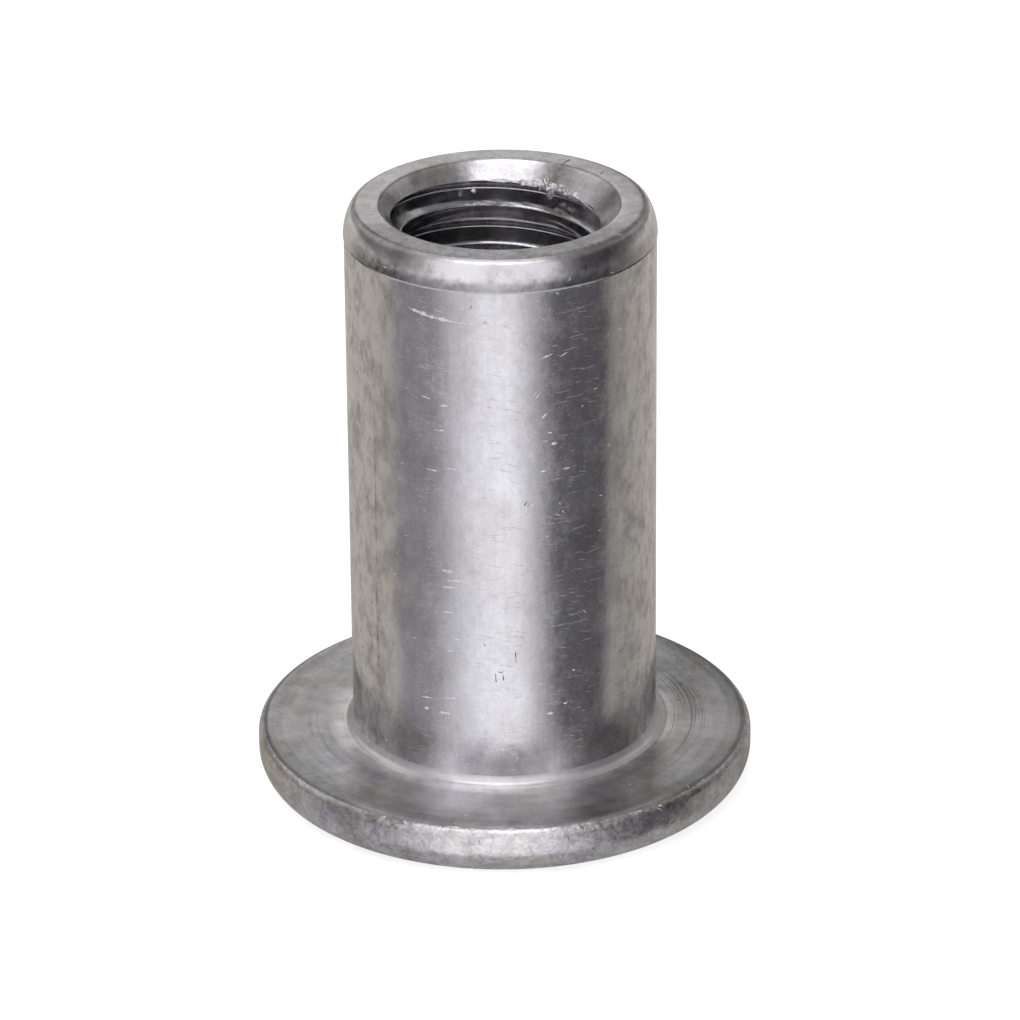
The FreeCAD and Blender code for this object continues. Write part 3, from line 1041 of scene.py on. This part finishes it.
def knockTree():
    # strews small flat lozenges over a surface, most of them lying across the shank
    add, given = startTree("strewn knocks", {
        "Surface": "Object", "Innermost": "Float", "Lowest": "Float", "Per Area": "Float",
        "Shortest": "Float", "Longest": "Float", "Width": "Float", "Height": "Float", "Tilt": "Float",
        "Seed": "Int", "Length Seed": "Int", "Material": "Material",
    })
    surface = add("GeometryNodeObjectInfo", {"Object": given["Surface"]}).outputs["Geometry"]
    place = add("GeometryNodeInputPosition")
    flat = add("ShaderNodeVectorMath", {0: place, 1: (1, 1, 0)}, operation="MULTIPLY")
    reach = add("ShaderNodeVectorMath", {0: flat}, operation="LENGTH")
    outside = add("FunctionNodeCompare", {
        0: reach.outputs["Value"], 1: given["Innermost"],
    }, operation="GREATER_THAN")
    height = add("ShaderNodeSeparateXYZ", {0: place}).outputs["Z"]
    above = add("FunctionNodeCompare", {0: height, 1: given["Lowest"]}, operation="GREATER_THAN")
    allowed = add("FunctionNodeBooleanMath", {0: outside, 1: above})
    # they lie in crowds a few millimetres across
    patch = add("ShaderNodeTexNoise", {"Scale": 0.55, "Detail": 1.0})
    crowd = add("ShaderNodeMapRange", {"Value": patch.outputs["Fac"], "From Min": 0.35, "From Max": 0.7})
    density = add("ShaderNodeMath", {0: crowd, 1: given["Per Area"]}, operation="MULTIPLY")
    spots = add("GeometryNodeDistributePointsOnFaces", {
        "Mesh": surface, "Selection": allowed, "Density": density, "Seed": given["Seed"],
    })
    lozenge = add("GeometryNodeMeshIcoSphere", {"Radius": 0.5, "Subdivisions": 1})
    spin = add("FunctionNodeRandomValue", {2: -1.0, 3: 1.0, "Seed": given["Seed"]}, data_type="FLOAT")
    cube = add("ShaderNodeMath", {0: spin.outputs[1], 1: 3.0}, operation="POWER")
    angle = add("ShaderNodeMath", {0: cube, 1: given["Tilt"]}, operation="MULTIPLY")
    level = add("FunctionNodeAxesToRotation", {
        0: spots.outputs["Normal"], 1: (0, 0, 1),
    }, primary_axis="Z", secondary_axis="Y")
    aside = add("ShaderNodeCombineXYZ", {"Z": angle})
    turned = add("FunctionNodeRotateRotation", {0: level, 1: aside}, rotation_space="LOCAL")
    length = add("FunctionNodeRandomValue", {
        2: given["Shortest"], 3: given["Longest"], "Seed": given["Length Seed"],
    }, data_type="FLOAT")
    size = add("ShaderNodeCombineXYZ", {
        "X": length.outputs[1], "Y": given["Width"], "Z": given["Height"],
    })
    strewn = add("GeometryNodeInstanceOnPoints", {
        "Points": spots, "Instance": lozenge, "Rotation": turned, "Scale": size,
    })
    return endTree(add, strewn, given["Material"])


def makeLips(name, body, strokes, metal, breakSize, layDown=True):
    # a stroke is points and a width
    curve = bpy.data.curves.new(name, "CURVE")
    curve.dimensions = "3D"
    for points, width in strokes:
        spline = curve.splines.new("POLY")
        spline.points.add(len(points) - 1)
        spline.points.foreach_set("co", [value for point in points for value in (*point, 1)])
        spline.points.foreach_set("radius", [width] * len(points))
    lines = addObject(name, curve)
    addTree(lines, scratchTree(), {
        "Surface": body, "Lay Down": layDown, "Step": marks["step"], "Flatness": marks["flatness"],
        "Break Size": breakSize, "Material": metal,
    })
    mesh = evaluatedMesh(lines)
    bpy.data.objects.remove(lines)
    print(name, "has", len(mesh.polygons), "faces")
    return addObject(name, mesh)


def onShank(across, up):
    angle = across / nut["shankRadius"]
    return (nut["shankRadius"] * math.sin(angle), -nut["shankRadius"] * math.cos(angle), up)


def onTurn(direction, radius, height):
    angle = math.radians(direction)
    return (radius * math.cos(angle), radius * math.sin(angle), height)


def shankStroke(u0, z0, u1, z1, width):
    spacing = 0.1     # of points, so that a long stroke follows the round shank
    steps = max(2, round(math.hypot(u1 - u0, z1 - z0) / spacing))
    return [onShank(u0 + (u1 - u0) * i / steps, z0 + (z1 - z0) * i / steps) for i in range(steps + 1)], width


def rimStroke(turn0, r0, z0, turn1, r1, z1, width):
    steps = 4
    points = []
    for share in (i / steps for i in range(steps + 1)):
        points.append(onTurn(turn0 + (turn1 - turn0) * share, r0 + (r1 - r0) * share, z0 + (z1 - z0) * share))
    return points, width


def burrLine(start, end, onCrest):
    # where the groove's upper edge meets the countersink, or the crest's edge a turn further down
    line = []
    for direction in range(start, end + 1, burrs["edgeStep"]):
        root = nut["length"] - thread["phase"] + thread["pitch"] * (direction - thread["startAngle"]) / 360
        edge = (root - burrs["flankBase"]) / burrs["slopes"]
        if onCrest:
            line.append(onTurn(direction, nut["boreRadius"], root - burrs["crestDrop"]))
        else:
            line.append(onTurn(direction, edge, edge + burrs["coneRise"]))
    return line


def makeMarks(body):
    frosty, dirty = makeAluminium("torn aluminium", torn), makeAluminium("grimy aluminium", grimy)
    strokes = [shankStroke(*stroke) for stroke in marks["shank"]]
    strokes += [rimStroke(*stroke) for stroke in marks["rimTears"]]
    scratches = makeLips("nut_scratches", body, strokes, frosty, marks["breakSize"])

    gouges = [shankStroke(*stroke) for stroke in marks["shankGouges"]]
    gouges += [([(x0, y0, z), (x1, y1, z)], width) for x0, y0, x1, y1, z, width in marks["flatGouges"]]
    gouges += [rimStroke(*stroke) for stroke in marks["rimKnocks"]]
    gouging = makeLips("gouges", body, gouges, dirty, marks["breakSize"])
    addTree(body, cutTree(), {"Cutter": gouging})
    closeSlivers(plainMesh(body))
    bpy.data.objects.remove(gouging)
    print("gouges cut:", len(body.data.vertices), "vertices")

    chips = [rimStroke(*chip) for chip in burrs["chips"]]
    chips += [(burrLine(start, end, onCrest), width) for start, end, onCrest, width in burrs["edges"]]
    jagged = makeAluminium("crumpled aluminium", crumpled)
    burred = makeLips("nut_burrs", body, chips, jagged, burrs["breakSize"], layDown=False)

    small = addObject("nut_knocks", bpy.data.meshes.new("nut_knocks"))
    addTree(small, knockTree(), {"Surface": body, "Material": frosty, **knocks})
    plainMesh(small)
    print("nut_knocks has", len(small.data.polygons), "faces")
    return [scratches, burred, small]


makeCamera()
print("camera set")
makeStudio()
print("studio lit")
body = makeNut()
marked = makeMarks(body)
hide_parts("rivet_nut")
for piece in [body] + marked:
    finishPiece(piece)
print("nut made")

bpy.context.scene.view_settings.view_transform = "Standard"
